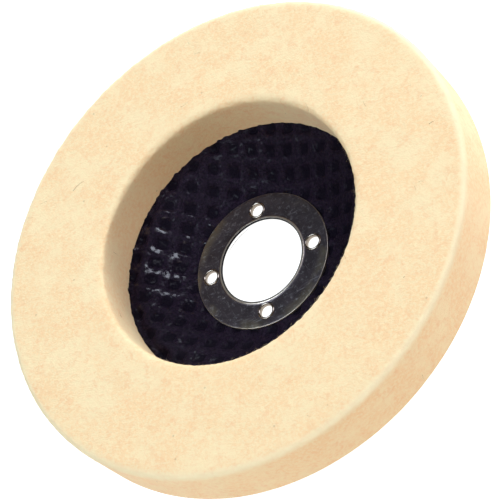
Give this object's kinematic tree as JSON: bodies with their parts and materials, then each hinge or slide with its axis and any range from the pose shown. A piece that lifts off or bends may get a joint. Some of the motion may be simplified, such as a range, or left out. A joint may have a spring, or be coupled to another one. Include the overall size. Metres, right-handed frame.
{
  "type": "felt polishing wheel",
  "caption": "Thick felt ring on a dished glass-mesh backing plate with a riveted steel arbor ring, for polishing on an angle grinder.",
  "frame": {"origin": "middle of the rear clamp face, on the wheel's axis", "axes": "+Z along the axis towards the felt's working face; X and Y along the threads of the glass mesh"},
  "size_m": [0.125, 0.125, 0.0205],
  "materials": {
    "felt": "pressed cream wool felt, fine hairy nap, faint mottling and a few dark fibres",
    "glue": "thin dark adhesive layer",
    "face_mesh": "black resin over square glass mesh, glossy with small glints",
    "core_ply": "resin-filled glass cloth inside the plate",
    "rear_mesh": "black resin over square glass mesh, glossy",
    "front_ring_steel": "mottled grey zinc-plated sheet, scuffed, faint brown tint at the rim",
    "rear_ring_steel": "mottled grey zinc-plated sheet, scuffed",
    "eyelet_steel": "zinc-plated steel, brighter where it is curled over"
  },
  "bodies": {
    "root": {"felt_ring": "felt", "bond_layer": "glue", "face_mesh_ply": "face_mesh", "core_ply_a": "core_ply", "core_ply_b": "core_ply", "rear_mesh_ply": "rear_mesh", "front_arbor_ring": "front_ring_steel", "rear_arbor_ring": "rear_ring_steel", "eyelet_1": "eyelet_steel", "eyelet_2": "eyelet_steel", "eyelet_3": "eyelet_steel", "eyelet_4": "eyelet_steel"}
  },
  "joints": []
}
